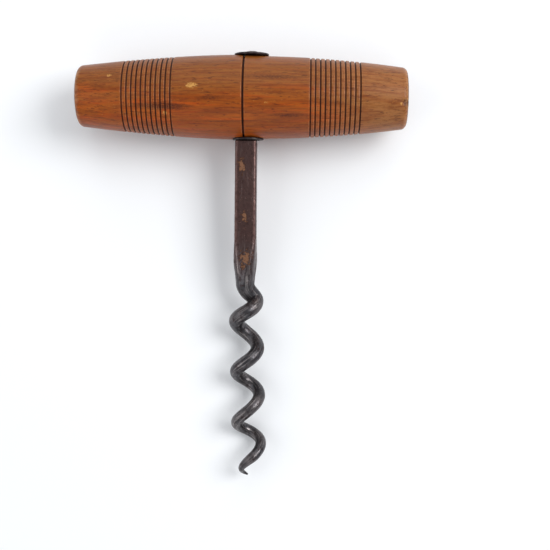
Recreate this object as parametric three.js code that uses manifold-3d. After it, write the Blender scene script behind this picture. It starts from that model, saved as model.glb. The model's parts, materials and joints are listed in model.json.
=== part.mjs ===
// Straight-pull corkscrew: a turned barrel handle of wood across the top of one forged iron screw.
// The screw's tang passes up through the handle and is peened over a domed burr (washer).
// It lies on its side, as on a table. Millimetres, +Z up, the handle along X and the point toward -Y.

import * as THREE from 'three';
import { mergeVertices } from 'three/addons/utils/BufferGeometryUtils.js';
import Module from 'manifold-3d';

// ---- driving dimensions (mm) ----

// Handle, measured along X from the centre groove
const LEFT_LENGTH = 48.1;
const RIGHT_LENGTH = 46.8;
const BELLY_RADIUS = 12.24;
const END_RADIUS = 9.15;
const LEFT_FULLNESS = 1.7; // power of the barrel curve on each side
const RIGHT_FULLNESS = 1.9;
const EDGE_ROUND = 1.7;
const HANDLE_SIDES = 32;
const RINGS_PER_BAND = 11;
const RING_PITCH = 1.4;
const LEFT_BAND_START = -34.3;
const RIGHT_BAND_START = 19.05;
const RING_WIDTH = 0.5;
const RING_DEPTH = 0.35;
const CENTRE_RING_WIDTH = 0.6;
const CENTRE_RING_DEPTH = 0.5;

// Tang and its hole, which was bored a little askew
const TANG_FOOT_X = 0.62;
const TANG_HEAD_X = 2.0;
const TANG_FOOT_SIDE = 4.0;
const TANG_HEAD_SIDE = 2.8;
const TANG_CLEARANCE = 0.3;
const TANG_CORNER = 0.4;
const TANG_ROUNDED = 3; // length below the head that is rounded to pass through the burr

// Washers, each on a shallow flat seat cut in the round handle
const BURR_RADIUS = 5.1;
const BURR_RIM = 0.6;
const BURR_DOME = 0.25;
const BURR_HOLE_RADIUS = 1.7;
const TOP_SEAT_DEPTH = 0.35; // below the belly radius
const WASHER_X = 1.1;
const WASHER_RADIUS = 4.6;
const WASHER_THICKNESS = 0.5;
const WASHER_HOLE_RADIUS = 3.4;
const BOTTOM_SEAT_DEPTH = 0.6;
const GAP = 0.2; // left between a piece and what it rests on

// Screw, with depths measured down the tool from the handle's axis
const HEAD_RADIUS = 2.3;
const HEAD_HEIGHT = 0.4;
const SHANK_SIDE = 6.4;
const SHANK_END_SIDE = 6.45;
const SHANK_END_DEPTH = 47;
const CORNER = 0.55; // chamfer on the shank's four corners
const SHOULDER_ROUND = 0.3;
const NECK_DEPTH = 54; // where the shank is narrowest and begins to bend into the worm
const NECK_SIDE = 5.2;
const NECK_FULLNESS = 0.2; // above a straight taper, halfway down to the neck
const WORM_START_DEPTH = 59.5;
const WORM_AXIS_X = 0.91;
const WORM_LEAN = 0.028; // sideways drift per unit of depth
const WORM_RADIUS = 5.2;
const WIRE_AT_START = 4.5;
const WIRE_AT_POINT = 3.1;
// The worm was coiled by hand, so each half turn drops by its own amount
const HALF_TURN_DROPS = [5.9, 7.7, 7.25, 6.85, 8.35, 6.15, 8.3, 2.8];
const STEPS_PER_HALF_TURN = 9;
// The wire is ground to a point over its last stretch, and drawn in toward the worm's axis
const POINT_START = 6.4; // half turns
const TIP = 7.45;
const TIP_WIRE = 0.7;
const TIP_DRAWN_IN = 0.4;

// Lying on a table, the belly of the handle and the lowest turn of the worm touch it
const CONTACT_DEPTH = 98;
const LYING_TILT = Math.asin((BELLY_RADIUS - WORM_RADIUS) / CONTACT_DEPTH);

// ---- materials ----

const WOOD = { color: 0xa5643c, roughness: 0.35, metalness: 0 };
const IRON = { color: 0x4a4341, roughness: 0.5, metalness: 0.8 };
const BURR_IRON = { color: 0x3a3230, roughness: 0.45, metalness: 0.8 };

// ---- solids: three.js geometry in and out of manifold's boolean operations ----

const wasm = await Module();
wasm.setup();

function toSolid(geometry) {
  const bare = geometry.clone();
  bare.deleteAttribute('normal');
  bare.deleteAttribute('uv');
  const merged = mergeVertices(bare, 1e-5);
  const vertProperties = new Float32Array(merged.attributes.position.array);
  const triVerts = new Uint32Array(merged.index.array);
  return new wasm.Manifold(new wasm.Mesh({ numProp: 3, vertProperties, triVerts }));
}

function toGeometry(solid) {
  const mesh = solid.getMesh();
  const geometry = new THREE.BufferGeometry();
  geometry.setAttribute('position', new THREE.BufferAttribute(mesh.vertProperties, 3));
  geometry.setIndex(new THREE.BufferAttribute(mesh.triVerts, 1));
  geometry.computeVertexNormals();
  return geometry;
}

function cut(geometry, cutters) {
  const solid = cutters.reduce((rest, cutter) => rest.subtract(toSolid(cutter)), toSolid(geometry));
  return toGeometry(solid);
}

// A closed skin over a stack of rings of points, each ring with the same number of points
function skin(rings) {
  const count = rings[0].length;
  const positions = rings.flat().flatMap((p) => [p.x, p.y, p.z]);
  const faces = [];
  for (let i = 0; i + 1 < rings.length; i += 1) {
    for (let j = 0; j < count; j += 1) {
      const a = i * count + j;
      const b = i * count + ((j + 1) % count);
      faces.push(a, b, b + count, a, b + count, a + count);
    }
  }
  const last = (rings.length - 1) * count;
  for (let j = 1; j + 1 < count; j += 1) {
    faces.push(0, j + 1, j);
    faces.push(last, last + j, last + j + 1);
  }
  const geometry = new THREE.BufferGeometry();
  geometry.setAttribute('position', new THREE.Float32BufferAttribute(positions, 3));
  geometry.setIndex(faces);
  geometry.computeVertexNormals();
  return geometry;
}

// ---- handle ----

function barrelRadius(x) {
  const length = x < 0 ? LEFT_LENGTH : RIGHT_LENGTH;
  const fullness = x < 0 ? LEFT_FULLNESS : RIGHT_FULLNESS;
  return BELLY_RADIUS - (BELLY_RADIUS - END_RADIUS) * (Math.abs(x) / length) ** fullness;
}

// Three profile points of a V-shaped ring groove cut round the barrel at x
function ringGroove(x, width, depth) {
  return [
    new THREE.Vector2(barrelRadius(x - width / 2), x - width / 2),
    new THREE.Vector2(barrelRadius(x) - depth, x),
    new THREE.Vector2(barrelRadius(x + width / 2), x + width / 2),
  ];
}

function band(start) {
  const points = [];
  for (let i = 0; i < RINGS_PER_BAND; i += 1) {
    points.push(...ringGroove(start + i * RING_PITCH, RING_WIDTH, RING_DEPTH));
  }
  return points;
}

function plainStretch(from, to, pieces) {
  const points = [];
  for (let i = 1; i < pieces; i += 1) {
    const x = from + ((to - from) * i) / pieces;
    points.push(new THREE.Vector2(barrelRadius(x), x));
  }
  return points;
}

// The rounded corner between the flat end at x and the barrel; outward is -1 or +1
function roundedEnd(x, outward) {
  const inner = barrelRadius(x - outward * EDGE_ROUND) - EDGE_ROUND;
  const points = [new THREE.Vector2(0, x)];
  for (let i = 0; i <= 4; i += 1) {
    const turn = (i / 4) * (Math.PI / 2);
    points.push(new THREE.Vector2(
      inner + EDGE_ROUND * Math.sin(turn),
      x - outward * EDGE_ROUND * (1 - Math.cos(turn)),
    ));
  }
  return outward < 0 ? points : points.reverse();
}

function handleBlank() {
  const bandLength = (RINGS_PER_BAND - 1) * RING_PITCH;
  const leftBandEnd = LEFT_BAND_START + bandLength;
  const rightBandEnd = RIGHT_BAND_START + bandLength;
  const profile = [
    ...roundedEnd(-LEFT_LENGTH, -1),
    ...plainStretch(-LEFT_LENGTH + EDGE_ROUND, LEFT_BAND_START, 3),
    ...band(LEFT_BAND_START),
    ...plainStretch(leftBandEnd, 0, 4),
    ...ringGroove(0, CENTRE_RING_WIDTH, CENTRE_RING_DEPTH),
    ...plainStretch(0, RIGHT_BAND_START, 4),
    ...band(RIGHT_BAND_START),
    ...plainStretch(rightBandEnd, RIGHT_LENGTH - EDGE_ROUND, 3),
    ...roundedEnd(RIGHT_LENGTH, 1),
  ];
  // The lathe turns about Y; the barrel lies along X
  return new THREE.LatheGeometry(profile, HANDLE_SIDES).rotateZ(-Math.PI / 2);
}

function tangX(y) {
  return THREE.MathUtils.mapLinear(y, -BELLY_RADIUS, BELLY_RADIUS, TANG_FOOT_X, TANG_HEAD_X);
}

function tangSide(y) {
  return THREE.MathUtils.mapLinear(y, -BELLY_RADIUS, BELLY_RADIUS, TANG_FOOT_SIDE, TANG_HEAD_SIDE);
}

// The tapered square hole, which leaves the tang its clearance all round
function tangHole() {
  const rings = [BELLY_RADIUS + 1, -BELLY_RADIUS - 1].map((y) => {
    const half = tangSide(y) / 2 + TANG_CLEARANCE;
    return [[-1, -1], [1, -1], [1, 1], [-1, 1]].map(
      ([u, v]) => new THREE.Vector3(tangX(y) + u * half, y, v * half),
    );
  });
  return skin(rings);
}

// A round cutter that sinks a flat seat for a washer, from the given height outward
function seatCutter(x, y, radius, outward) {
  const height = BELLY_RADIUS;
  return new THREE.CylinderGeometry(radius, radius, height, 32).translate(x, y + (outward * height) / 2, 0);
}

const TOP_SEAT_Y = BELLY_RADIUS - TOP_SEAT_DEPTH;
const BOTTOM_SEAT_Y = -BELLY_RADIUS + BOTTOM_SEAT_DEPTH;

function handleGeometry() {
  return cut(handleBlank(), [
    tangHole(),
    seatCutter(tangX(TOP_SEAT_Y), TOP_SEAT_Y, BURR_RADIUS + GAP, 1),
    seatCutter(WASHER_X, BOTTOM_SEAT_Y, WASHER_RADIUS + GAP, -1),
  ]);
}

// ---- washers ----

// The burr: a disc with a straight rim and a domed top
function burrGeometry() {
  const points = [new THREE.Vector2(0, 0), new THREE.Vector2(BURR_RADIUS, 0)];
  for (let i = 0; i <= 5; i += 1) {
    const turn = (i / 5) * (Math.PI / 2);
    points.push(new THREE.Vector2(BURR_RADIUS * Math.cos(turn), BURR_RIM + BURR_DOME * Math.sin(turn)));
  }
  points[points.length - 1].x = 0;
  return cut(new THREE.LatheGeometry(points, 32), [holeCutter(BURR_HOLE_RADIUS)]);
}

function washerGeometry() {
  const disc = new THREE.CylinderGeometry(WASHER_RADIUS, WASHER_RADIUS, WASHER_THICKNESS, 32);
  return cut(disc, [holeCutter(WASHER_HOLE_RADIUS)]);
}

function holeCutter(radius) {
  return new THREE.CylinderGeometry(radius, radius, BELLY_RADIUS, 24);
}

// ---- screw: head, tang, shank and worm in one forging ----

const HEAD_SEAT_Y = TOP_SEAT_Y + GAP + BURR_RIM + BURR_DOME + GAP;
const SECTION_SIDES = 12;

// One cross-section: a square with chamfered corners that becomes round as blend goes from 0 to 1.
// across points to the section's right and front toward its front; the section faces down the tool.
function section(centre, across, front, width, corner, blend) {
  const half = width / 2;
  const ring = [];
  for (let i = 0; i < SECTION_SIDES; i += 1) {
    const side = Math.floor(i / 3);
    const place = (i % 3) - 1; // along the flat: one end, middle, other end
    const offset = place * (half - corner);
    const roundTurn = (place * Math.PI) / 6;
    const turn = (side * Math.PI) / 2 + THREE.MathUtils.lerp(Math.atan2(offset, half), roundTurn, blend);
    const reach = THREE.MathUtils.lerp(Math.hypot(half, offset), half, blend);
    ring.push(centre.clone()
      .addScaledVector(across, reach * Math.cos(turn))
      .addScaledVector(front, reach * Math.sin(turn)));
  }
  return ring;
}

const RIGHT = new THREE.Vector3(1, 0, 0);
const FRONT = new THREE.Vector3(0, 0, 1);

// The straight part, from the peened head down to the end of the square shank
function straightSections() {
  const shoulder = -BOTTOM_SEAT_Y + GAP + WASHER_THICKNESS + GAP;
  const head = [
    [HEAD_SEAT_Y + HEAD_HEIGHT, HEAD_RADIUS],
    [HEAD_SEAT_Y + HEAD_HEIGHT * 0.75, HEAD_RADIUS * 1.7],
    [HEAD_SEAT_Y, HEAD_RADIUS * 2],
    [HEAD_SEAT_Y, TANG_HEAD_SIDE],
  ].map(([y, width]) => [tangX(y), -y, width, TANG_CORNER, 1]);
  const tang = [
    [HEAD_SEAT_Y - BURR_DOME - BURR_RIM - GAP, 1],
    [HEAD_SEAT_Y - TANG_ROUNDED, 0],
    [BOTTOM_SEAT_Y, 0],
    [-shoulder, 0],
  ].map(([y, blend]) => [tangX(y), -y, tangSide(y), TANG_CORNER, blend]);
  const shank = [
    [shoulder, SHANK_SIDE - 2 * SHOULDER_ROUND],
    [shoulder + SHOULDER_ROUND, SHANK_SIDE],
    [SHANK_END_DEPTH, SHANK_END_SIDE],
    [(SHANK_END_DEPTH + NECK_DEPTH) / 2, (SHANK_END_SIDE + NECK_SIDE) / 2 + NECK_FULLNESS],
  ].map(([depth, width]) => [TANG_FOOT_X, depth, width, CORNER, 0]);
  return [...head, ...tang, ...shank].map(
    ([x, depth, width, corner, blend]) => section(
      new THREE.Vector3(x, -depth, 0), RIGHT, FRONT, width, corner, blend,
    ),
  );
}

// How far the grinding of the point has gone, from 0 at its start to 1 at the tip
function pointShare(halfTurn) {
  return THREE.MathUtils.clamp((halfTurn - POINT_START) / (TIP - POINT_START), 0, 1);
}

function wireWidth(halfTurn) {
  const full = THREE.MathUtils.mapLinear(halfTurn, 0, POINT_START, WIRE_AT_START, WIRE_AT_POINT);
  return THREE.MathUtils.lerp(full, TIP_WIRE, pointShare(halfTurn));
}

// Depth of the wire's centre after a number of half turns, smooth through the hand-set drops
const DEPTH_CURVE = new THREE.CatmullRomCurve3(
  HALF_TURN_DROPS.reduce(
    (points, drop) => [...points, new THREE.Vector3(points.at(-1).x + drop, 0, 0)],
    [new THREE.Vector3(WORM_START_DEPTH, 0, 0)],
  ),
);

// Centre of the wire: it starts at the right and comes to the front as it goes down
function wormCentre(halfTurn) {
  const depth = DEPTH_CURVE.getPoint(Math.max(halfTurn, 0) / HALF_TURN_DROPS.length).x;
  const coilRadius = WORM_RADIUS - wireWidth(Math.min(halfTurn, POINT_START)) / 2;
  const radius = coilRadius * THREE.MathUtils.lerp(1, TIP_DRAWN_IN, pointShare(halfTurn));
  const angle = halfTurn * Math.PI;
  const axis = WORM_AXIS_X + WORM_LEAN * (depth - WORM_START_DEPTH);
  return new THREE.Vector3(axis + radius * Math.cos(angle), -depth, radius * Math.sin(angle));
}

// Where the shank bends over into the first turn, between its narrow neck and the worm
function bendCurve() {
  const start = new THREE.Vector3(TANG_FOOT_X, -NECK_DEPTH, 0);
  const end = wormCentre(0);
  const endDirection = wormCentre(0.05).sub(end).normalize();
  const reach = (WORM_START_DEPTH - NECK_DEPTH) / 2;
  return new THREE.CubicBezierCurve3(
    start,
    start.clone().add(new THREE.Vector3(0, -reach, 0)),
    end.clone().addScaledVector(endDirection, -reach),
    end,
  );
}

// Sections square to a centreline, with their sides kept as near as can be to the shank's sides
function sweptSection(centre, direction, previousAcross, width, corner, blend) {
  const across = previousAcross.clone().addScaledVector(direction, -previousAcross.dot(direction)).normalize();
  const front = direction.clone().cross(across);
  return { ring: section(centre, across, front, width, corner, blend), across };
}

function wormSections() {
  const rings = [];
  let across = RIGHT;
  const bend = bendCurve();
  const bendSteps = 6;
  for (let i = 0; i <= bendSteps; i += 1) {
    const share = i / bendSteps;
    const width = THREE.MathUtils.lerp(NECK_SIDE, WIRE_AT_START, share);
    const next = sweptSection(bend.getPoint(share), bend.getTangent(share), across, width, CORNER, share);
    across = next.across;
    rings.push(next.ring);
  }
  const steps = Math.round(TIP * STEPS_PER_HALF_TURN);
  for (let i = 1; i <= steps; i += 1) {
    const halfTurn = (TIP * i) / steps;
    const centre = wormCentre(halfTurn);
    const direction = wormCentre(halfTurn + 0.01).sub(wormCentre(halfTurn - 0.01)).normalize();
    const next = sweptSection(centre, direction, across, wireWidth(halfTurn), CORNER, 1);
    across = next.across;
    rings.push(next.ring);
  }
  return rings;
}

function screwGeometry() {
  return toGeometry(toSolid(skin([...straightSections(), ...wormSections()])));
}

// ---- assembly ----

function piece(name, geometry, look) {
  const mesh = new THREE.Mesh(geometry, new THREE.MeshStandardMaterial(look));
  mesh.name = name;
  return mesh;
}

const handle = piece('handle', handleGeometry(), WOOD);
const screw = piece('screw', screwGeometry(), IRON);
const topBurr = piece('top_burr', burrGeometry(), BURR_IRON);
topBurr.position.set(tangX(TOP_SEAT_Y), TOP_SEAT_Y + GAP, 0);
const bottomWasher = piece('bottom_washer', washerGeometry(), BURR_IRON);
bottomWasher.position.set(WASHER_X, BOTTOM_SEAT_Y - GAP - WASHER_THICKNESS / 2, 0);

const corkscrew = new THREE.Group();
corkscrew.add(handle, screw, topBurr, bottomWasher);
corkscrew.rotation.x = LYING_TILT;

// The origin is under the middle of the whole object, on the table
const object = new THREE.Group();
object.add(corkscrew);
object.updateMatrixWorld(true);
const box = new THREE.Box3().setFromObject(object, true);
const middle = box.getCenter(new THREE.Vector3());
corkscrew.position.set(-middle.x, -middle.y, -box.min.z);

export default object;
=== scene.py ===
# Straight-pull corkscrew: a turned beech barrel across the top of one forged iron screw,
# lying on its side on a pale table. Lengths are written in millimetres and made in metres.

import json
import math
import random

import bpy
from mathutils import Matrix, Vector, noise


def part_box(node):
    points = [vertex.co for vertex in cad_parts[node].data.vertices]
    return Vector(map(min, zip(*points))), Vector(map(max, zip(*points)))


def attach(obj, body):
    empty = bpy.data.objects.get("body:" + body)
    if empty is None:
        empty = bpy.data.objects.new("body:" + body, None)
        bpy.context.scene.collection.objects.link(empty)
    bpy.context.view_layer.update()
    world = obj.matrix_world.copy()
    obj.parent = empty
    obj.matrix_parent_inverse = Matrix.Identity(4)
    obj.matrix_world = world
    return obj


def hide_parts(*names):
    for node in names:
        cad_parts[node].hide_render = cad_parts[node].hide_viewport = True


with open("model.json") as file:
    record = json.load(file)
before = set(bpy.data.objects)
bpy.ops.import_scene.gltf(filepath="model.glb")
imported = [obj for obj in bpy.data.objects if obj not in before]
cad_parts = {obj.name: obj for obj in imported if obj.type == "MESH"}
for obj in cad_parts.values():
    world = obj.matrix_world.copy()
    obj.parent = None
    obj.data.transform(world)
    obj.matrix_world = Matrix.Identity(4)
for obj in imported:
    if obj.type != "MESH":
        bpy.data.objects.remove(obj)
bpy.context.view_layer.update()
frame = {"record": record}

MM = 0.001


# ---- handle -------------------------------------------------------------------------------------
# One barrel of beech, turned between centres, ring-grooved with the skew's point, stained
# red-brown and polished with shellac on the lathe. A century of hands has packed its grooves
# with dark wax and dirt and knocked small nicks in it. Its upper side carries a painted sheen of the
# light above.

LEFT_LENGTH = 48.1
RIGHT_LENGTH = 46.8
LEFT_BELLY = 12.19
RIGHT_BELLY = 11.88
END_RADIUS = 8.7
LEFT_FULLNESS = 1.7
RIGHT_FULLNESS = 2.1
EDGE_ROUND = 1.7
RINGS_PER_BAND = 11
BANDS = ((-34.3, 1.39), (19.05, 1.407))
RING_WIDTH = 0.52
RING_DEPTH = 0.36
SHOULDER_ROLL = 0.05
SHOULDER_REACH = 4.5
CENTRE_WIDTH = 0.66
CENTRE_DEPTH = 0.55
HANDLE_SIDES = 176
END_STEPS = 9
CORNER_STEPS = 12
FINE_STEP = 0.085
PLAIN_STEP = 0.45

random.seed(7)
grooves = [(0.0, CENTRE_WIDTH, CENTRE_DEPTH)]
for band_start, pitch in BANDS:
    for ring in range(RINGS_PER_BAND):
        place = band_start + ring * pitch + random.uniform(-0.03, 0.03)
        grooves.append((place, RING_WIDTH, RING_DEPTH * random.uniform(0.85, 1.1)))

# Small knocks in the wood: where along the handle, degrees round from the upper side, width, depth
NICKS = [
    (46.0, -11, 1.7, 0.5),
    (-13.6, 11, 0.9, 0.1),
    (-38.0, 31, 0.8, 0.1),
    (-41.0, -30, 1.1, 0.12),
    (-3.8, 55, 0.8, 0.08),
    (12.5, -48, 1.0, 0.1),
    (38.0, 74, 1.3, 0.14),
    (-25.0, 150, 1.2, 0.12),
    (8.0, 200, 1.6, 0.14),
    (40.5, 238, 1.0, 0.12),
    (-44.0, 215, 1.4, 0.16),
]

handle_low = Vector(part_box("handle")[0])
mounts = {mount["name"]: Vector(mount["pos_m"]) for mount in frame["record"]["mounts"]}
end_centre = mounts["handle_right_end"]
# It lies on the handle's belly and on the underside of the worm's last coil, further down
BELLY_RADIUS = 12.24
LAST_COIL_RADIUS = 5.2
LAST_COIL_DEPTH = 98
LYING_TILT = math.asin((BELLY_RADIUS - LAST_COIL_RADIUS) / LAST_COIL_DEPTH)
# From the tool's own axes to the frame's: X along the handle, -Y down the screw, Z its upper side
tool_place = (
    Matrix.Translation((handle_low.x + LEFT_LENGTH * MM, end_centre.y, end_centre.z))
    @ Matrix.Rotation(LYING_TILT, 4, "X")
)


def smooth(value, low, high):
    share = min(max((value - low) / (high - low), 0.0), 1.0)
    return share * share * (3 - 2 * share)


def lerp(first, second, share):
    return first + (second - first) * share


def barrel_radius(x):
    """The barrel's curve, a little slimmer to the right of the centre groove."""
    length, fullness = (LEFT_LENGTH, LEFT_FULLNESS) if x < 0 else (RIGHT_LENGTH, RIGHT_FULLNESS)
    belly = lerp(LEFT_BELLY, RIGHT_BELLY, smooth(x, -3, 9))
    return belly - (belly - END_RADIUS) * (abs(x) / length) ** fullness


def groove_depth(x):
    """How far the skew's point went in at x: a narrow V with a rounded floor and rolled shoulders."""
    deepest = 0.0
    for centre, width, depth in grooves:
        away = abs(x - centre) / (width / 2)
        if away < SHOULDER_REACH:
            narrow = depth * math.exp(-2.2 * away ** 2.4)
            deepest = max(deepest, narrow + SHOULDER_ROLL * math.exp(-0.3 * away ** 2))
    return deepest


def handle_profile():
    """Points (x, radius) from the middle of the left end to the middle of the right end."""
    points = []
    for steps_in in range(END_STEPS):
        inner = END_RADIUS - EDGE_ROUND
        points.append((-LEFT_LENGTH, inner * steps_in / END_STEPS))
    for corner_step in range(CORNER_STEPS + 1):
        turn = corner_step / CORNER_STEPS * math.pi / 2
        x = -LEFT_LENGTH + EDGE_ROUND * (1 - math.cos(turn))
        inner = barrel_radius(-LEFT_LENGTH + EDGE_ROUND) - EDGE_ROUND
        points.append((x, inner + EDGE_ROUND * math.sin(turn)))
    x = -LEFT_LENGTH + EDGE_ROUND
    while x < RIGHT_LENGTH - EDGE_ROUND - PLAIN_STEP:
        near_groove = any(abs(x - centre) < width + PLAIN_STEP for centre, width, depth in grooves)
        x += FINE_STEP if near_groove else PLAIN_STEP
        points.append((x, barrel_radius(x) - groove_depth(x)))
    for corner_step in range(CORNER_STEPS, -1, -1):
        turn = corner_step / CORNER_STEPS * math.pi / 2
        x = RIGHT_LENGTH - EDGE_ROUND * (1 - math.cos(turn))
        inner = barrel_radius(RIGHT_LENGTH - EDGE_ROUND) - EDGE_ROUND
        points.append((x, inner + EDGE_ROUND * math.sin(turn)))
    for steps_in in range(END_STEPS - 1, -1, -1):
        inner = END_RADIUS - EDGE_ROUND
        points.append((RIGHT_LENGTH, inner * steps_in / END_STEPS))
    return points


def worn(x, turn, radius):
    """The turned radius less what use has taken off: a faint waviness and the nicks."""
    spot = Vector((x * 0.12, math.cos(turn) * radius * 0.16, math.sin(turn) * radius * 0.16))
    radius -= 0.045 * (0.5 + 0.5 * noise.noise(spot))
    for nick_x, degrees, width, depth in NICKS:
        round_away = math.remainder(turn - math.radians(90 - degrees), math.tau) * radius
        away = math.hypot((x - nick_x) * 0.8, round_away) / (width / 2)
        if away < 2:
            ragged = 1 + 0.6 * noise.noise(Vector((x * 2.2, round_away * 2.2, depth * 40)))
            radius -= depth * math.exp(-1.6 * away ** 3) * ragged
    return radius


def closed_mesh(name, rings):
    """A skin over rings of points in millimetres; a ring of one point closes an end."""
    vertices = []
    starts = []
    for ring in rings:
        starts.append(len(vertices))
        vertices.extend(tuple(value * MM for value in point) for point in ring)
    faces = []
    for index in range(len(rings) - 1):
        a, b = starts[index], starts[index + 1]
        count_a, count_b = len(rings[index]), len(rings[index + 1])
        for side in range(max(count_a, count_b)):
            following = (side + 1) % max(count_a, count_b)
            if count_a == 1:
                faces.append((a, b + following, b + side))
            elif count_b == 1:
                faces.append((a + side, a + following, b))
            else:
                faces.append((a + side, a + following, b + following, b + side))
    mesh = bpy.data.meshes.new(name)
    mesh.from_pydata(vertices, [], faces)
    mesh.validate()
    mesh.shade_smooth()
    piece = bpy.data.objects.new(name, mesh)
    bpy.context.scene.collection.objects.link(piece)
    return piece


def ring_round_x(x, radius):
    """A ring about the handle's axis, turning from the tool's +Y toward its +Z."""
    if radius < 1e-6:
        return [(x, 0.0, 0.0)]
    points = []
    for side in range(HANDLE_SIDES):
        turn = side / HANDLE_SIDES * math.tau
        reach = worn(x, turn, radius)
        points.append((x, reach * math.cos(turn), reach * math.sin(turn)))
    return points


handle = closed_mesh("turned_handle", [ring_round_x(x, r) for x, r in reversed(handle_profile())])

# The tang's tapered hole and the two washer seats are cut after turning, as on the real handle
TANG_FOOT_X = 0.62
TANG_HEAD_X = 2.0
TANG_FOOT_SIDE = 4.0
TANG_HEAD_SIDE = 2.8
TANG_CLEARANCE = 0.12
TOP_SEAT = 11.89
BOTTOM_SEAT = -11.64
SEAT_CLEARANCE = 0.15
WASHER_X = 1.1
BURR_RADIUS = 5.08
WASHER_RADIUS = 4.58
# The cutters run on past the wood at both ends
HOLE_CUTTER_END = 13.5
HOLE_CUTTER_TIP = 13.6
SEAT_CUTTER_END = 14.0


def along_tang(y, at_foot, at_head):
    share = (y + BELLY_RADIUS) / (2 * BELLY_RADIUS)
    return at_foot + (at_head - at_foot) * share


def square_ring(x, y, half):
    return [(x + u * half, y, v * half) for u, v in ((-1, -1), (1, -1), (1, 1), (-1, 1))]


def round_ring(x, y, radius, sides=96):
    turns = [side / sides * math.tau for side in range(sides)]
    return [(x + radius * math.cos(turn), y, radius * math.sin(turn)) for turn in turns]


def cut_away(piece, cutter):
    difference = piece.modifiers.new("cut", "BOOLEAN")
    difference.operation = "DIFFERENCE"
    difference.solver = "EXACT"
    difference.object = cutter
    bpy.context.view_layer.update()
    evaluated = piece.evaluated_get(bpy.context.evaluated_depsgraph_get())
    result = bpy.data.meshes.new_from_object(evaluated)
    piece.modifiers.clear()
    piece.data = result
    bpy.data.objects.remove(cutter)


hole_rings = []
for y in (HOLE_CUTTER_END, -HOLE_CUTTER_END):
    half = along_tang(y, TANG_FOOT_SIDE, TANG_HEAD_SIDE) / 2 + TANG_CLEARANCE
    hole_rings.append(square_ring(along_tang(y, TANG_FOOT_X, TANG_HEAD_X), y, half))
hole_top = [(TANG_HEAD_X, HOLE_CUTTER_TIP, 0)]
hole_foot = [(TANG_FOOT_X, -HOLE_CUTTER_TIP, 0)]
hole = closed_mesh("hole", [hole_top] + hole_rings + [hole_foot])
cut_away(handle, hole)
burr_x = along_tang(TOP_SEAT, TANG_FOOT_X, TANG_HEAD_X)
for x, radius, upper, lower in (
    (burr_x, BURR_RADIUS + SEAT_CLEARANCE, SEAT_CUTTER_END, TOP_SEAT),
    (WASHER_X, WASHER_RADIUS + SEAT_CLEARANCE, BOTTOM_SEAT, -SEAT_CUTTER_END),
):
    seat_rings = [round_ring(x, y, radius) for y in (upper, lower)]
    cut_away(handle, closed_mesh("seat", [[(x, upper, 0)]] + seat_rings + [[(x, lower, 0)]]))

# Old marks in the stain: where along the handle, degrees round from the upper side, half length
# and half width, and how strong; a positive one has lost its stain, a negative one is darker
MARKS = [
    (-14.3, 11, 1.7, 0.8, 0.9),
    (-21.8, -29, 0.8, 0.55, 0.9),
    (-38.0, 31, 0.8, 0.5, 0.8),
    (-22.3, -19, 6.5, 0.9, -0.9),
    (8.5, 24, 7.0, 0.7, -0.6),
    (13.0, -30, 4.5, 0.6, -0.7),
    (-9.0, -6, 3.5, 0.5, -0.6),
    (6.5, -12, 1.0, 0.5, 0.6),
    (18.0, 155, 3.2, 0.9, 0.7),
    (-8.0, 172, 8.0, 1.1, -0.8),
    (-30.0, 232, 2.0, 1.0, 0.7),
    (30.0, 118, 5.0, 0.9, -0.7),
    (4.0, 215, 6.0, 1.0, -0.7),
    (36.0, 190, 1.5, 0.9, 0.8),
    # The chip at the right end is painted: the dark mark paints shade in its hollow, and the two pale
    # ones paint bare wood and a highlight on its edge
    (46.1, -12, 0.8, 0.9, -1.3),
    (46.5, -7, 0.4, 0.5, 1.2),
    (44.6, -14, 0.5, 0.4, 0.9),
]


def stain_marks_and_chip_shading(x, turn, radius):
    strongest = 0.0
    for mark_x, degrees, half_length, half_width, strength in MARKS:
        round_away = math.remainder(turn - math.radians(90 - degrees), math.tau) * radius
        away = math.hypot((x - mark_x) / half_length, round_away / half_width)
        share = strength * max(0.0, 1 - away * 0.6)
        if abs(share) > abs(strongest):
            strongest = share
    return strongest


# What the finish needs to know at each point: how deep it is in a groove, how worn its edge is
# and where the groove lips get a painted glint, and how far an old mark has lightened or darkened it
dirt = handle.data.attributes.new("groove_dirt", "FLOAT", "POINT")
rub_and_glint = handle.data.attributes.new("edge_wear_and_lip_glint", "FLOAT", "POINT")
mark = handle.data.attributes.new("stain_marks_and_chip_shading", "FLOAT", "POINT")
for index, vertex in enumerate(handle.data.vertices):
    x = vertex.co.x / MM
    from_axis = math.hypot(vertex.co.y, vertex.co.z) / MM
    depth = groove_depth(x)
    from_end = min(LEFT_LENGTH + x, RIGHT_LENGTH - x)
    stained_end = 0.62 * (1 - smooth(from_end, 0.1, 0.8))
    dirt.data[index].value = max(min((depth - SHOULDER_ROLL) / (RING_DEPTH * 0.55), 1.0), stained_end)
    near_end = max(0.0, 1 - from_end / 2.2)
    at_corner = max(0.0, 1 - abs(from_axis - END_RADIUS + 0.5) / 1.4)
    # Painted glint: a narrow band on each side of every groove, for the light its lips catch
    lip_glint = max(1 - abs(abs(x - c) - w * 0.75) / 0.15 for c, w, d in grooves)
    rub_and_glint.data[index].value = min(1.0, near_end * at_corner + 0.5 * max(0.0, lip_glint))
    mark.data[index].value = stain_marks_and_chip_shading(x, math.atan2(vertex.co.z, vertex.co.y), from_axis)
handle.data.transform(tool_place)


def hex_colour(code):
    """An sRGB hex colour as the linear values that a shader takes."""
    channels = [int(code[i:i + 2], 16) / 255 for i in (0, 2, 4)]
    linear = [c / 12.92 if c <= 0.04045 else ((c + 0.055) / 1.055) ** 2.4 for c in channels]
    return (*linear, 1.0)


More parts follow.
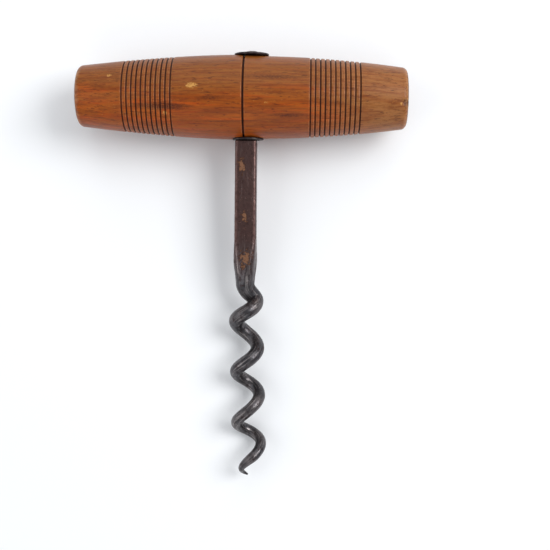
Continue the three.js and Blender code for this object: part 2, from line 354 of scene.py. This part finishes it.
def add(material, kind, inputs, **settings):
    """Adds one node. An input given as a socket is linked; anything else is its value."""
    tree = material.node_tree
    node = tree.nodes.new("ShaderNode" + kind)
    for name, value in settings.items():
        setattr(node, name, value)
    for key, value in inputs.items():
        if isinstance(value, bpy.types.NodeSocket):
            tree.links.new(value, node.inputs[key])
        else:
            node.inputs[key].default_value = value
    return node


def shellacked_beech():
    """Beech, stained red-brown and shellac polished on the lathe. To the eye: fine pores and short
    dark ray flecks along the grain, faint growth rings, a warm depth, and a broad soft gloss."""
    wood = bpy.data.materials.new("shellac_polished_stained_beech")
    wood.use_nodes = True
    shader = wood.node_tree.nodes["Principled BSDF"]
    in_frame = add(wood, "TexCoord", {}).outputs["Object"]
    tool_axes = {
        "Vector": in_frame, "Location": tool_place.translation,
        "Rotation": (LYING_TILT, 0, 0), "Scale": (MM, MM, MM),
    }
    mm = add(wood, "Mapping", tool_axes, vector_type="TEXTURE").outputs[0]

    # Growth rings 1.7 mm apart round a heart that lies outside the barrel
    heart = add(wood, "Mapping", {"Vector": mm, "Location": (0, 17, -24), "Scale": (0.05, 1, 1)})
    ring_inputs = {
        "Vector": heart.outputs[0], "Scale": math.tau / 20 / 1.7, "Distortion": 2.6,
        "Detail": 3.0, "Detail Scale": 0.35, "Detail Roughness": 0.6,
    }
    rings = add(wood, "TexWave", ring_inputs, wave_type="RINGS", rings_direction="X").outputs["Fac"]

    # Streaks of the grain: length along it and width across it in mm, and how fine they break up
    grain = {}
    for name, length, width, detail, offset in (
        ("cloud", 30, 3.0, 3.0, 3.1),
        ("streak", 16, 0.55, 5.0, 0.0),
        ("fibre", 7, 0.14, 3.0, 5.2),
        ("fleck", 2.2, 0.36, 2.0, 9.7),
        ("pore", 3.4, 0.12, 2.0, 21.3),
        ("wear_and_glint_breakup", 2.2, 1.1, 4.0, 31.0),
        ("scuff", 0.8, 2.6, 4.0, 47.0),
        ("red_streak", 18, 1.2, 4.0, 61.0),
        ("grit", 0.5, 0.3, 2.0, 73.0),
    ):
        across = 1 / width
        drawn_out = {"Vector": mm, "Scale": (1 / length, across, across), "Location": (offset,) * 3}
        at = add(wood, "Mapping", drawn_out).outputs[0]
        speckle = {"Vector": at, "Scale": 1.0, "Detail": detail, "Roughness": 0.6}
        grain[name] = add(wood, "TexNoise", speckle).outputs["Fac"]

    rubbed_and_glint = add(wood, "Attribute", {}, attribute_name="edge_wear_and_lip_glint").outputs["Fac"]
    packed = add(wood, "Attribute", {}, attribute_name="groove_dirt").outputs["Fac"]
    marked = add(wood, "Attribute", {}, attribute_name="stain_marks_and_chip_shading").outputs["Fac"]
    broken = add(wood, "MapRange", {"Value": grain["wear_and_glint_breakup"], "From Min": 0.36, "From Max": 0.62})
    bare_edge_and_glint = add(wood, "Math", {0: rubbed_and_glint, 1: broken.outputs[0]}, operation="MULTIPLY").outputs[0]
    gritty = {"Value": grain["grit"], "From Min": 0.3, "From Max": 0.7, "To Min": 0.2}
    ragged = add(wood, "MapRange", gritty).outputs[0]
    ragged_mark = add(wood, "Math", {0: marked, 1: ragged}, operation="MULTIPLY").outputs[0]

    # Painted sheen: the upper side, towards the burr, is painted paler and greyer for the sheen of the
    # light above; the lower side keeps its red
    split = add(wood, "SeparateXYZ", {0: mm}).outputs
    cloudy = {0: grain["cloud"], 1: 14.0, 2: split["Y"]}
    painted_sheen_edge = add(wood, "Math", cloudy, operation="MULTIPLY_ADD").outputs[0]
    # Painted highlight: from 18 mm right of the centre the wood is painted paler and hazier towards the
    # right end for the key light's highlight, and the painted sheen above spreads further there
    key_highlight_span = {"Value": split["X"], "From Min": 18.0, "From Max": 38.0, "To Max": 11.0}
    right_end = add(wood, "MapRange", key_highlight_span).outputs[0]
    painted_sheen_side = add(wood, "Math", {0: painted_sheen_edge, 1: right_end}, operation="ADD").outputs[0]

    # Rubbed end corners show paler wood through the stain, and the same pale colour paints a glint on
    # the groove lips; grooves hold black-brown wax and dirt
    colour = hex_colour("7E3405")
    layers = {}
    for name, value, low, high, strength, shade in (
        ("cloud", grain["cloud"], 0.38, 0.62, 1.0, "9C4A09"),
        ("red_streak", grain["red_streak"], 0.48, 0.62, 0.75, "AC4303"),
        # painted sheen of the light above, on the upper side
        ("upper_sheen", painted_sheen_side, 4.5, 10.5, 0.72, "774A20"),
        # painted highlight of the key light at the right end
        ("right_end", right_end, 0.0, 11.0, 0.45, "A06E44"),
        ("streak", grain["streak"], 0.46, 0.68, 0.75, "5A1F06"),
        ("ring", rings, 0.5, 1.0, 0.35, "6E2A08"),
        ("fibre", grain["fibre"], 0.35, 0.72, 0.22, "BE761C"),
        ("fleck", grain["fleck"], 0.60, 0.70, 0.7, "341006"),
        ("pore", grain["pore"], 0.60, 0.68, 0.45, "45190A"),
        ("speck", grain["grit"], 0.70, 0.78, 0.6, "C48E4E"),
        # dark stain marks, and painted shade in the right end's chip
        ("dark_mark_and_chip_shade", ragged_mark, -0.04, -0.4, 0.8, "421606"),
        # bare patches, and a painted highlight on the chip's edge
        ("bare_mark_and_chip_highlight", ragged_mark, 0.2, 0.38, 0.8, "CB974F"),
        # pale worn end corners, and the painted glint on the groove lips
        ("bare_edge_and_glint", bare_edge_and_glint, 0.1, 0.8, 0.65, "D09A66"),
        ("dirt", packed, 0.25, 0.9, 0.93, "2A1010"),
    ):
        span = {"Value": value, "From Min": low, "From Max": high, "To Max": strength}
        layers[name] = add(wood, "MapRange", span).outputs[0]
        over = {"Factor": layers[name], 6: colour, 7: hex_colour(shade)}
        colour = add(wood, "Mix", over, data_type="RGBA").outputs[2]
    wood.node_tree.links.new(colour, shader.inputs["Base Color"])

    # Polish worn dull in patches, scuffed across the grain, and none in the dirty grooves
    gloss = {"Value": grain["cloud"], "From Min": 0.3, "From Max": 0.7, "To Min": 0.32, "To Max": 0.46}
    roughness = add(wood, "MapRange", gloss).outputs[0]
    scuffed = {"Value": grain["scuff"], "From Min": 0.6, "From Max": 0.7, "To Max": 0.14}
    for duller in (add(wood, "MapRange", scuffed).outputs[0], layers["dirt"], layers["bare_edge_and_glint"]):
        dulled = {0: duller, 1: 0.3, 2: roughness}
        roughness = add(wood, "Math", dulled, operation="MULTIPLY_ADD").outputs[0]
    wood.node_tree.links.new(roughness, shader.inputs["Roughness"])
    shader.inputs["IOR"].default_value = 1.5
    shader.inputs["Specular IOR Level"].default_value = 0.2
    shader.inputs["Coat Weight"].default_value = 0.1
    shader.inputs["Coat Roughness"].default_value = 0.26
    shader.inputs["Coat IOR"].default_value = 1.52

    relief = grain["fibre"]
    for hollow in (layers["fleck"], layers["pore"]):
        sunk = {0: hollow, 1: -0.9, 2: relief}
        relief = add(wood, "Math", sunk, operation="MULTIPLY_ADD").outputs[0]
    bump = add(wood, "Bump", {"Height": relief, "Distance": 0.03 * MM, "Strength": 0.6})
    wood.node_tree.links.new(bump.outputs[0], shader.inputs["Normal"])
    return wood


handle.data.materials.clear()
handle.data.materials.append(shellacked_beech())
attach(handle, "root")
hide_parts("handle")


# ---- screw --------------------------------------------------------------------------------------
# One piece of wrought iron: the smith draws down the square shank, tapers its tang, chamfers and
# twists the neck, and coils the round drawn end hot round a mandrel into the right-handed worm.
# The point is filed and drawn in. The tang's head is riveted over the burr when the handle is on.

TANG_CORNER = 1.3
TANG_HARDNESS = 20
SHANK_TOP = 12.38
SHOULDER_ROUND = 0.35
SHANK_SIDE = 6.35
SHANK_END_SIDE = 6.42
SHANK_END_DEPTH = 46.0
NECK_DEPTH = 54.0
NECK_SIDE = 5.2
WORM_START = 59.5
WORM_AXIS_X = 0.91
WORM_LEAN = 0.028
WORM_RADIUS = 5.165
WIRE_AT_START = 4.5
WIRE_AT_POINT = 3.15
HALF_TURN_DROPS = (5.9, 7.7, 7.25, 6.85, 8.35, 6.15, 8.3, 2.8)
POINT_START = 6.4
TIP = 7.31
TIP_WIRE = 0.7
TIP_DRAWN_IN = 0.4
HEAD_TOP = 13.31
HEAD_SEAT = 12.74
HEAD_RADIUS = 2.2
SECTION_SIDES = 56
FORGING_STEP = 0.3
TWIST = math.radians(38)
TWIST_START = 40
TWIST_END = 60
# A corner at this many half sides: a square's is 1.41, and a planed one comes in toward 1
SHANK_CORNER = 1.35
NECK_CORNER = 1.03
# The higher this is, the flatter the sides and the sharper the edges between them
SHANK_HARDNESS = 26
NECK_HARDNESS = 18
SHANK_ROUGHNESS = 0.1
WORM_ROUGHNESS = 0.07


def point_share(half_turn):
    return min(max((half_turn - POINT_START) / (TIP - POINT_START), 0.0), 1.0)


def wire_width(half_turn):
    full = lerp(WIRE_AT_START, WIRE_AT_POINT, half_turn / POINT_START)
    return lerp(full, TIP_WIRE, point_share(half_turn))


knots = [WORM_START]
for drop in HALF_TURN_DROPS:
    knots.append(knots[-1] + drop)


def worm_depth(half_turn):
    """Depth after so many half turns: a smooth curve through the depths of the hand-set coils."""
    last = len(knots) - 1
    index = min(max(int(half_turn), 0), last - 1)
    share = half_turn - index
    before = knots[index - 1] if index else 2 * knots[0] - knots[1]
    after = knots[index + 2] if index + 2 <= last else 2 * knots[last] - knots[last - 1]
    start, end = knots[index], knots[index + 1]
    pull_out, pull_in = (end - before) / 2, (after - start) / 2
    square, cube = share * share, share ** 3
    return (
        (2 * cube - 3 * square + 1) * start + (cube - 2 * square + share) * pull_out
        + (3 * square - 2 * cube) * end + (cube - square) * pull_in
    )


def worm_centre(half_turn):
    depth = worm_depth(half_turn)
    coil = WORM_RADIUS - wire_width(min(half_turn, POINT_START)) / 2
    coil *= lerp(1, TIP_DRAWN_IN, point_share(half_turn))
    angle = half_turn * math.pi
    axis = WORM_AXIS_X + WORM_LEAN * (depth - WORM_START)
    return Vector((axis + coil * math.cos(angle), -depth, coil * math.sin(angle)))


def forged_reach(angle, half, corner_half, hardness):
    """Distance from the centre to a square bar whose corners are planed at corner_half."""
    total = 0.0
    for flat in range(8):
        across = math.cos(angle - flat * math.pi / 4)
        if across > 0:
            total += (across / (corner_half if flat % 2 else half)) ** hardness
    return total ** (-1 / hardness)


def forged_ring(
    centre, across, front, half, corner_half, hardness, turned=0.0, rough=0.0, roundness=0.0
):
    """One section of the forging, with the hammer's and the scale's unevenness on it."""
    points = []
    for side in range(SECTION_SIDES):
        angle = side / SECTION_SIDES * math.tau
        reach = lerp(forged_reach(angle - turned, half, corner_half, hardness), half, roundness)
        point = centre + across * (reach * math.cos(angle)) + front * (reach * math.sin(angle))
        if rough:
            swell = noise.noise(point * 0.32) * 0.6 + noise.noise(point * 1.3) * 0.3
            pit = max(0.0, noise.noise(point * 2.6 + Vector((5, 9, 2))) - 0.42) * 1.6
            point -= (point - centre).normalized() * rough * (0.5 - 0.5 * swell + pit)
        points.append(tuple(point))
    return points


RIGHT = Vector((1, 0, 0))
FRONT = Vector((0, 0, 1))
screw_rings = [[(along_tang(HEAD_TOP, TANG_FOOT_X, TANG_HEAD_X), HEAD_TOP, 0)]]
# The riveted head, a low hammered dome, and the tang below it
for dome_step in range(1, 9):
    turn = dome_step / 8 * math.pi / 2
    y = HEAD_SEAT + (HEAD_TOP - HEAD_SEAT) * math.cos(turn)
    centre = Vector((along_tang(y, TANG_FOOT_X, TANG_HEAD_X), y, 0))
    radius = HEAD_RADIUS * math.sin(turn)
    screw_rings.append(forged_ring(centre, RIGHT, FRONT, radius, radius, 8, rough=0.08, roundness=0.9))
TANG_SECTIONS = ((HEAD_SEAT, 1.0), (12.0, 1.0), (9.0, 0.0), (0.0, 0.0), (-11.9, 0.0), (-SHANK_TOP, 0.0))
for y, roundness in TANG_SECTIONS:
    centre = Vector((along_tang(y, TANG_FOOT_X, TANG_HEAD_X), y, 0))
    half = along_tang(y, TANG_FOOT_SIDE, TANG_HEAD_SIDE) / 2
    corner_half = half * TANG_CORNER
    screw_rings.append(
        forged_ring(centre, RIGHT, FRONT, half, corner_half, TANG_HARDNESS, roundness=roundness)
    )

# The shoulder and the square shank, down to the neck
for shoulder_step in range(5):
    turn = shoulder_step / 4 * math.pi / 2
    half = SHANK_SIDE / 2 - SHOULDER_ROUND * (1 - math.sin(turn))
    depth = SHANK_TOP + SHOULDER_ROUND * (1 - math.cos(turn))
    centre = Vector((TANG_FOOT_X, -depth, 0))
    corner_half = half * SHANK_CORNER
    screw_rings.append(
        forged_ring(centre, RIGHT, FRONT, half, corner_half, SHANK_HARDNESS, rough=0.05)
    )
depth = SHANK_TOP + SHOULDER_ROUND
while depth < NECK_DEPTH:
    depth = min(depth + FORGING_STEP, NECK_DEPTH)
    straight = min((depth - SHANK_TOP) / (SHANK_END_DEPTH - SHANK_TOP), 1.0)
    side = lerp(SHANK_SIDE, SHANK_END_SIDE, straight)
    side = lerp(side, NECK_SIDE, smooth(depth, SHANK_END_DEPTH, NECK_DEPTH + 2))
    corner = lerp(SHANK_CORNER, NECK_CORNER, smooth(depth, 39, NECK_DEPTH))
    turned = TWIST * smooth(depth, TWIST_START, TWIST_END)
    centre = Vector((TANG_FOOT_X, -depth, 0))
    half = side / 2
    hardness = lerp(SHANK_HARDNESS, NECK_HARDNESS, smooth(depth, 42, 55))
    screw_rings.append(
        forged_ring(centre, RIGHT, FRONT, half, half * corner, hardness, turned, SHANK_ROUGHNESS)
    )

# The bend from the neck into the first coil, on a smooth curve, then the worm itself
bend_side = side
neck = Vector((TANG_FOOT_X, -NECK_DEPTH, 0))
first_coil = worm_centre(0)
coil_direction = (worm_centre(0.05) - first_coil).normalized()
pull = (WORM_START - NECK_DEPTH) / 2
bend_points = (neck, neck - Vector((0, pull, 0)), first_coil - coil_direction * pull, first_coil)


def bend(share):
    rest = 1 - share
    weights = (rest ** 3, 3 * rest * rest * share, 3 * rest * share * share, share ** 3)
    return sum((point * weight for point, weight in zip(bend_points, weights)), Vector())


path = []
BEND_STEPS = 26
for step in range(1, BEND_STEPS + 1):
    share = step / BEND_STEPS
    width = lerp(bend_side, WIRE_AT_START, share)
    path.append((bend(share), width, share))
WORM_STEPS = 420
for step in range(1, WORM_STEPS + 1):
    half_turn = TIP * step / WORM_STEPS
    path.append((worm_centre(half_turn), wire_width(half_turn), 1.0))
across = RIGHT
TWIST_STEP = 0.25
for index, (centre, width, share_round) in enumerate(path):
    behind = path[index - 1][0] if index else neck
    ahead = path[index + 1][0] if index + 1 < len(path) else centre + (centre - behind)
    direction = (ahead - behind).normalized()
    across = (across - direction * across.dot(direction)).normalized()
    front = direction.cross(across)
    turned = TWIST * smooth(NECK_DEPTH + index * TWIST_STEP, TWIST_START, TWIST_END)
    half = width / 2
    corner_half = half * NECK_CORNER
    roundness = smooth(share_round, 0.3, 1)
    screw_rings.append(forged_ring(
        centre, across, front, half, corner_half, NECK_HARDNESS, turned, WORM_ROUGHNESS, roundness
    ))
tip_centre, tip_width = path[-1][0], path[-1][1]
tip_direction = (path[-1][0] - path[-2][0]).normalized()
for cap_step in range(1, 4):
    turn = cap_step / 4 * math.pi / 2
    centre = tip_centre + tip_direction * (tip_width / 2 * math.sin(turn))
    radius = tip_width / 2 * math.cos(turn)
    screw_rings.append(forged_ring(centre, across, front, radius, radius, 8, roundness=1.0))
screw_rings.append([tuple(tip_centre + tip_direction * tip_width / 2)])
screw = closed_mesh("forged_screw", screw_rings)

# Rust spots: x, depth and height on the screw, half width and half length
RUST_SPOTS = [
    (0.6, 46.7, 3.2, 1.45, 2.0),
    (0.5, 34.4, 3.2, 0.7, 1.5),
    (-0.6, 19.5, 3.2, 0.9, 1.8),
    (0.2, 28.0, -3.2, 1.6, 3.0),
    (1.4, 51.0, -2.8, 1.3, 2.2),
    (3.8, 39.0, 0.4, 1.1, 2.6),
    (-2.6, 21.0, -0.6, 1.2, 2.0),
    (5.0, 75.0, 1.0, 1.1, 1.6),
    (-3.5, 83.0, -2.0, 1.2, 1.8),
    (1.0, 95.0, -4.6, 1.3, 1.5),
]
# Where each point lies round the bar and along it, for the file's and the hammer's long lines and the
# painted highlight streaks along them
BAR_RADIUS = 2.4
lines = screw.data.attributes.new("along_bar", "FLOAT_VECTOR", "POINT")
travelled = 0.0
for index, vertex in enumerate(screw.data.vertices):
    ring, side = divmod(index - 1, SECTION_SIDES)
    if side == 0 and ring > 0:
        travelled += (vertex.co - screw.data.vertices[index - SECTION_SIDES].co).length / MM
    angle = side / SECTION_SIDES * math.tau
    lines.data[index].vector = (BAR_RADIUS * math.cos(angle), travelled, BAR_RADIUS * math.sin(angle))
rust = screw.data.attributes.new("rust_spot", "FLOAT", "POINT")
for index, vertex in enumerate(screw.data.vertices):
    at = vertex.co / MM
    rust.data[index].value = max(
        1 - math.hypot((at.x - x) / wide, (at.y + deep) / long, (at.z - high) / wide) / 2
        for x, deep, high, wide, long in RUST_SPOTS
    )
screw.data.transform(tool_place)


def patinated_iron():
    """Wrought iron, hammer forged and left from the fire, browned with age. To the eye: a dark
    brown-grey skin, satin where hands and corks rub it, matt and pitted where it has rusted."""
    iron = bpy.data.materials.new("forged_wrought_iron_brown_patina")
    iron.use_nodes = True
    shader = iron.node_tree.nodes["Principled BSDF"]
    in_frame = add(iron, "TexCoord", {}).outputs["Object"]
    tool_axes = {
        "Vector": in_frame, "Location": tool_place.translation,
        "Rotation": (LYING_TILT, 0, 0), "Scale": (MM, MM, MM),
    }
    mm = add(iron, "Mapping", tool_axes, vector_type="TEXTURE").outputs[0]
    along = add(iron, "SeparateXYZ", {0: mm}).outputs["Y"]

    along_bar = add(iron, "Attribute", {}, attribute_name="along_bar").outputs["Vector"]
    # Patterns of the skin: their size in mm, how much longer they are along the bar, how fine
    skin = {}
    for name, space, size, stretch, detail, offset in (
        ("cloud", mm, 5.5, 1.6, 4.0, 0.0),
        ("blotch", mm, 1.4, 1.3, 5.0, 7.7),
        ("fine", mm, 0.22, 1.0, 3.0, 3.3),
        ("file_line_and_highlight", along_bar, 0.42, 14.0, 3.0, 13.0),
        ("freckle", mm, 0.55, 1.2, 2.0, 17.0),
    ):
        scale = (1 / size, 1 / size / stretch, 1 / size)
        drawn_out = {"Vector": space, "Scale": scale, "Location": (offset,) * 3}
        at = add(iron, "Mapping", drawn_out).outputs[0]
        speckle = {"Vector": at, "Scale": 1.0, "Detail": detail, "Roughness": 0.6}
        skin[name] = add(iron, "TexNoise", speckle).outputs["Fac"]

    # Rust with a ragged edge round each spot
    spotted = add(iron, "Attribute", {}, attribute_name="rust_spot").outputs["Fac"]
    for pattern, reach in ((skin["blotch"], 0.9), (skin["freckle"], 1.1)):
        uneven = add(iron, "MapRange", {"Value": pattern, "To Min": -reach, "To Max": reach}).outputs[0]
        spotted = add(iron, "Math", {0: spotted, 1: uneven}, operation="ADD").outputs[0]

    # The shank is browner than the worm, which corks keep rubbed to grey
    colour = hex_colour("48474A")
    layers = {}
    for name, value, low, high, strength, shade in (
        ("cloud", skin["cloud"], 0.42, 0.68, 0.35, "857B79"),
        ("blotch", skin["blotch"], 0.50, 0.68, 0.65, "2A2527"),
        # Painted highlight: the long drawing lines are painted pale to stand for highlight streaks
        # along the wire
        ("file_line_and_highlight", skin["file_line_and_highlight"], 0.54, 0.68, 0.6, "B0A8A6"),
        ("shank", along, -54, -40, 0.82, "5E433E"),
        ("shank_blotch", skin["blotch"], 0.52, 0.64, 0.5, "2E2325"),
        ("freckle", skin["freckle"], 0.62, 0.69, 0.7, "3A211A"),
        ("rust_edge", spotted, 0.36, 0.5, 0.8, "331A11"),
        ("rust", spotted, 0.5, 0.8, 0.8, "80573A"),
    ):
        span = {"Value": value, "From Min": low, "From Max": high, "To Max": strength}
        layers[name] = add(iron, "MapRange", span).outputs[0]
        over = {"Factor": layers[name], 6: colour, 7: hex_colour(shade)}
        colour = add(iron, "Mix", over, data_type="RGBA").outputs[2]
    iron.node_tree.links.new(colour, shader.inputs["Base Color"])

    metal = add(iron, "MapRange", {"Value": layers["rust"], "To Min": 0.9, "To Max": 0.1}).outputs[0]
    iron.node_tree.links.new(metal, shader.inputs["Metallic"])
    gloss = {"Value": skin["blotch"], "From Min": 0.3, "From Max": 0.7, "To Min": 0.24, "To Max": 0.42}
    roughness = add(iron, "MapRange", gloss).outputs[0]
    for duller in (layers["rust_edge"], layers["freckle"]):
        dulled = {0: duller, 1: 0.3, 2: roughness}
        roughness = add(iron, "Math", dulled, operation="MULTIPLY_ADD").outputs[0]
    iron.node_tree.links.new(roughness, shader.inputs["Roughness"])
    relief = skin["blotch"]
    for height, amount in ((skin["fine"], 0.5), (layers["freckle"], -0.6), (skin["file_line_and_highlight"], 0.4)):
        raised = {0: height, 1: amount, 2: relief}
        relief = add(iron, "Math", raised, operation="MULTIPLY_ADD").outputs[0]
    bump = add(iron, "Bump", {"Height": relief, "Distance": 0.08 * MM, "Strength": 0.7})
    iron.node_tree.links.new(bump.outputs[0], shader.inputs["Normal"])
    return iron


screw.data.materials.append(patinated_iron())
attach(screw, "root")
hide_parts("screw")


# ---- burr and washer ----------------------------------------------------------------------------
# The burr is a disc punched from iron plate and hammered to a low dome, with the tang's head
# riveted over its hole. The washer below the handle is a thin flat disc that spreads the pull of
# the shank's shoulder. Both are blackened, and were never filed to a true round.

BURR_RIM = 0.6
BURR_DOME = 0.26
BURR_HOLE = 1.62
BURR_GAP = 0.02
WASHER_THICKNESS = 0.6
WASHER_HOLE = 3.3
WASHER_GAP = 0.04
RIM_ROUND = 0.16
DISC_SIDES = 120


def hammered_disc(name, x, y, radius, hole, thickness, dome, wobble):
    """A washer with softened rims; y is its lower face and dome lifts its top towards the hole."""
    outline = []
    for step in range(9):
        turn = step / 8 * math.pi
        rim = radius - RIM_ROUND * (1 - math.sin(turn))
        outline.append((rim, thickness / 2 * (1 - math.cos(turn))))
    steps_in = 14
    for step in range(1, steps_in + 1):
        share = step / steps_in
        rise = dome * math.sin(share * math.pi / 2)
        outline.append((lerp(radius - RIM_ROUND, hole, share), thickness + rise))
    outline.append((hole, 0.0))
    for step in range(1, 7):
        outline.append((lerp(hole, radius - RIM_ROUND, step / 6), 0.0))
    rings = []
    for reach, height in outline[:-1] + outline[:1]:
        ring = []
        for side in range(DISC_SIDES):
            turn = side / DISC_SIDES * math.tau
            spot = Vector((math.cos(turn), math.sin(turn), radius))
            uneven = 1 - wobble * (0.5 + 0.5 * noise.noise(spot * 1.3)) * (reach / radius)
            lift = 0.0
            if height > 0:
                blow = Vector((reach * math.cos(turn), reach * math.sin(turn), 3))
                lift = 0.05 * dome * noise.noise(blow)
            point_x = x + reach * uneven * math.cos(turn)
            ring.append((point_x, y + height + lift, reach * uneven * math.sin(turn)))
        rings.append(ring)
    disc = closed_mesh(name, rings)
    disc.data.transform(tool_place)
    return disc


burr = hammered_disc(
    "domed_burr", burr_x, TOP_SEAT + BURR_GAP, BURR_RADIUS, BURR_HOLE, BURR_RIM, BURR_DOME, 0.035
)
washer_foot = BOTTOM_SEAT - WASHER_GAP - WASHER_THICKNESS
washer = hammered_disc(
    "shoulder_washer", WASHER_X, washer_foot, WASHER_RADIUS, WASHER_HOLE, WASHER_THICKNESS, 0.0, 0.03
)


def blackened_iron():
    """Iron plate, hammered and blackened in oil. To the eye: near black, satin on the high spots,
    with brown rust starting round the rim."""
    black = bpy.data.materials.new("oil_blackened_hammered_iron")
    black.use_nodes = True
    shader = black.node_tree.nodes["Principled BSDF"]
    place = add(black, "TexCoord", {}).outputs["Object"]
    hammered = {"Vector": place, "Scale": 1 / (1.6 * MM), "Detail": 4.0}
    blows = add(black, "TexNoise", hammered).outputs["Fac"]
    scaled = {"Vector": place, "Scale": 1 / (0.25 * MM), "Detail": 3.0}
    fine = add(black, "TexNoise", scaled).outputs["Fac"]
    worn_share = {"Value": blows, "From Min": 0.45, "From Max": 0.68, "To Max": 0.6}
    worn = add(black, "MapRange", worn_share).outputs[0]
    shades = {"Factor": worn, 6: hex_colour("2C2527"), 7: hex_colour("67605C")}
    colour = add(black, "Mix", shades, data_type="RGBA").outputs[2]
    rusty = add(black, "MapRange", {"Value": fine, "From Min": 0.58, "From Max": 0.72, "To Max": 0.5})
    browned = {"Factor": rusty.outputs[0], 6: colour, 7: hex_colour("4A2A1E")}
    colour = add(black, "Mix", browned, data_type="RGBA").outputs[2]
    black.node_tree.links.new(colour, shader.inputs["Base Color"])
    shader.inputs["Metallic"].default_value = 0.75
    gloss = add(black, "MapRange", {"Value": blows, "To Min": 0.34, "To Max": 0.6}).outputs[0]
    black.node_tree.links.new(gloss, shader.inputs["Roughness"])
    relief = add(black, "Math", {0: blows, 1: fine}, operation="ADD").outputs[0]
    bump = add(black, "Bump", {"Height": relief, "Distance": 0.08 * MM, "Strength": 0.7})
    black.node_tree.links.new(bump.outputs[0], shader.inputs["Normal"])
    return black


oil_black = blackened_iron()
for disc, node_name in ((burr, "top_burr"), (washer, "bottom_washer")):
    disc.data.materials.append(oil_black)
    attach(disc, "root")
    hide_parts(node_name)


# ---- table, light and camera --------------------------------------------------------------------
# A pale matt board under a soft window light from the right, a broad window behind the handle and
# two reflecting boards, all low, so that the iron reflects a dark ceiling between bright sides.
# The camera looks almost straight down from 0.3 m.

bpy.ops.mesh.primitive_plane_add(size=4)
table = bpy.context.object
table.name = "table"
board = bpy.data.materials.new("matt_white_board")
board.use_nodes = True
board_shader = board.node_tree.nodes["Principled BSDF"]
mottle = add(board, "TexNoise", {"Scale": 30.0, "Detail": 3.0}).outputs["Fac"]
pale = {"Factor": mottle, 6: hex_colour("F1F3F5"), 7: hex_colour("F4F6F8")}
board.node_tree.links.new(
    add(board, "Mix", pale, data_type="RGBA").outputs[2], board_shader.inputs["Base Color"]
)
board_shader.inputs["Roughness"].default_value = 0.85
board_shader.inputs["Specular IOR Level"].default_value = 0.1
table.data.materials.append(board)

LIGHTS = [
    # Name, place in metres, size in metres, power in watts
    ("key_window", (0.50, 0.20, 0.55), 0.45, 4.1),
    ("back_window", (0.05, 0.65, 0.45), 0.80, 2.0),
    ("left_board", (-0.65, -0.05, 0.50), 0.80, 2.4),
    ("near_board", (0.05, -0.75, 0.45), 0.80, 1.5),
]
middle = Vector((0, 0.02, 0.01))
for name, place, size, power in LIGHTS:
    lamp = bpy.data.lights.new(name, "AREA")
    lamp.size = size
    lamp.energy = power
    lamp_object = bpy.data.objects.new(name, lamp)
    lamp_object.location = place
    lamp_object.rotation_euler = (middle - Vector(place)).to_track_quat("-Z", "Y").to_euler()
    bpy.context.scene.collection.objects.link(lamp_object)

sky = bpy.data.worlds.new("studio")
sky.use_nodes = True
sky.node_tree.nodes["Background"].inputs["Color"].default_value = hex_colour("F4F7FC")
sky.node_tree.nodes["Background"].inputs["Strength"].default_value = 0.38
bpy.context.scene.world = sky
bpy.context.scene.view_settings.view_transform = "Standard"

CAMERA_FROM_HANDLE = Vector((16.8, -51.3, 302.5)) * MM
CAMERA_LEAN = math.radians(1.39)
CAMERA_ROLL = math.radians(0.69)
camera_data = bpy.data.cameras.new("camera")
camera_data.sensor_width = 36
camera_data.lens = 68.3
camera = bpy.data.objects.new("camera", camera_data)
camera.location = tool_place.translation + CAMERA_FROM_HANDLE
camera.rotation_euler = (0, CAMERA_LEAN, CAMERA_ROLL)
bpy.context.scene.collection.objects.link(camera)
bpy.context.scene.camera = camera
